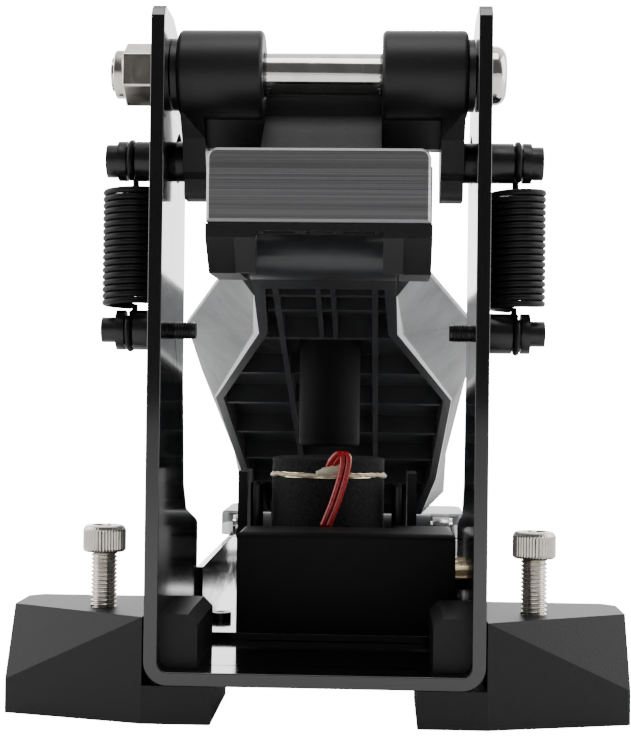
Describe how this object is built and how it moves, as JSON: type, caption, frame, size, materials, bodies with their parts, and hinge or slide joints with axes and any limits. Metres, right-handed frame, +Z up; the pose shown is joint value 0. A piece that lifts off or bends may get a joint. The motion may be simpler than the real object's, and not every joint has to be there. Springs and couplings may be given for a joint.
{
  "type": "bass drum trigger pedal",
  "caption": "Foot pedal with a silver footboard, sprung rocker in a black steel frame, and a rubber striker over a foam sensor pad.",
  "frame": {"origin": "on the floor, at the centre of the whole pedal's bounding box", "axes": "+X to the right seen from the toe end, +Y from toe to heel, +Z up"},
  "size_m": [0.184, 0.396, 0.208],
  "materials": {
    "frame_black": "gloss black powder coat",
    "foot_black": "fine-grained black moulding",
    "screw_steel": "dark zinc",
    "foot_rubber": "matte black rubber",
    "anchor_nickel": "nickel plate",
    "axle_chrome": "polished chrome",
    "pin_black": "semi-gloss black plate",
    "spring_black": "semi-gloss black wire",
    "rocker_black": "satin black casting",
    "bush_black": "black bearing plastic",
    "bumper_grey": "grey rubber",
    "board_silver": "satin cast aluminium",
    "board_black": "satin black casting",
    "housing_black": "textured black plastic",
    "board_green": "circuit board green",
    "jack_brass": "pale brass",
    "foam_black": "open black foam",
    "tape_cream": "cream adhesive",
    "lead_red": "red insulation"
  },
  "bodies": {
    "frame": {"frame_channel": "frame_black", "base_plate": "frame_black", "foot_left": "foot_black", "foot_right": "foot_black", "foot_block_left": "foot_black", "foot_block_right": "foot_black", "foot_screws": "screw_steel", "base_screws": "screw_steel", "heel_screws": "screw_steel", "housing_screws": "screw_steel", "rear_feet": "foot_rubber", "axle_sleeve": "axle_chrome", "axle_bolt": "axle_chrome", "axle_nut": "axle_chrome", "axle_washer": "axle_chrome", "heel_pin": "axle_chrome", "holder_posts": "axle_chrome", "lower_pin_left": "pin_black", "lower_pin_right": "pin_black", "spring_left": "spring_black", "spring_right": "spring_black", "heel_plate": "board_silver", "sensor_housing": "housing_black", "pad_holder": "housing_black", "circuit_board": "board_green", "jack_output": "jack_brass", "jack_mix_in": "jack_brass", "jack_nuts": "jack_brass", "sensor_disc": "jack_brass", "pad_foam_lower": "foam_black", "pad_foam_upper": "foam_black", "pad_tape": "tape_cream", "lead_sealant": "tape_cream", "sensor_lead_a": "lead_red", "sensor_lead_b": "lead_red"},
    "footboard": {"footboard_shell": "board_silver", "footboard_underframe": "board_black", "grip_strips": "foot_rubber", "striker": "foot_rubber", "striker_cap": "foot_rubber", "striker_screw": "screw_steel"},
    "toe_link": {"toe_link": "rocker_black", "link_pin": "pin_black", "toe_pin": "pin_black"},
    "rocker": {"rocker": "rocker_black", "bush_left": "bush_black", "bush_right": "bush_black", "upper_pin_left": "pin_black", "upper_pin_right": "pin_black", "rocker_bumpers": "bumper_grey"},
    "anchor_left": {"anchor_bolt_left": "anchor_nickel"},
    "anchor_right": {"anchor_bolt_right": "anchor_nickel"}
  },
  "joints": [
    {"name": "footboard_press", "type": "hinge", "parent": "frame", "child": "footboard", "pos_m": [0, 0.132, 0.03], "axis": [1, 0, 0], "range_deg": [0, 2], "stiffness_Nm_per_rad": 30, "springref_deg": -2.86, "deforming": ["pad_foam_upper"]},
    {"name": "rocker_turn", "type": "hinge", "parent": "frame", "child": "rocker", "pos_m": [0, -0.17, 0.191], "axis": [1, 0, 0], "range_deg": [0, 4.5], "deforming": ["spring_left", "spring_right"]},
    {"name": "toe_link_turn", "type": "hinge", "parent": "footboard", "child": "toe_link", "pos_m": [0, -0.1545, 0.139], "axis": [1, 0, 0], "range_deg": [-17.6, 0]},
    {"name": "anchor_left_slide", "type": "slide", "parent": "frame", "child": "anchor_left", "axis": [0, 0, 1], "range_m": [-0.0075, 0.01]},
    {"name": "anchor_right_slide", "type": "slide", "parent": "frame", "child": "anchor_right", "axis": [0, 0, 1], "range_m": [-0.0075, 0.01]}
  ],
  "couplings": [
    {"joint": "rocker_turn", "follows": "footboard_press", "ratio": 2.25},
    {"joint": "toe_link_turn", "follows": "footboard_press", "ratio": -8.79}
  ]
}
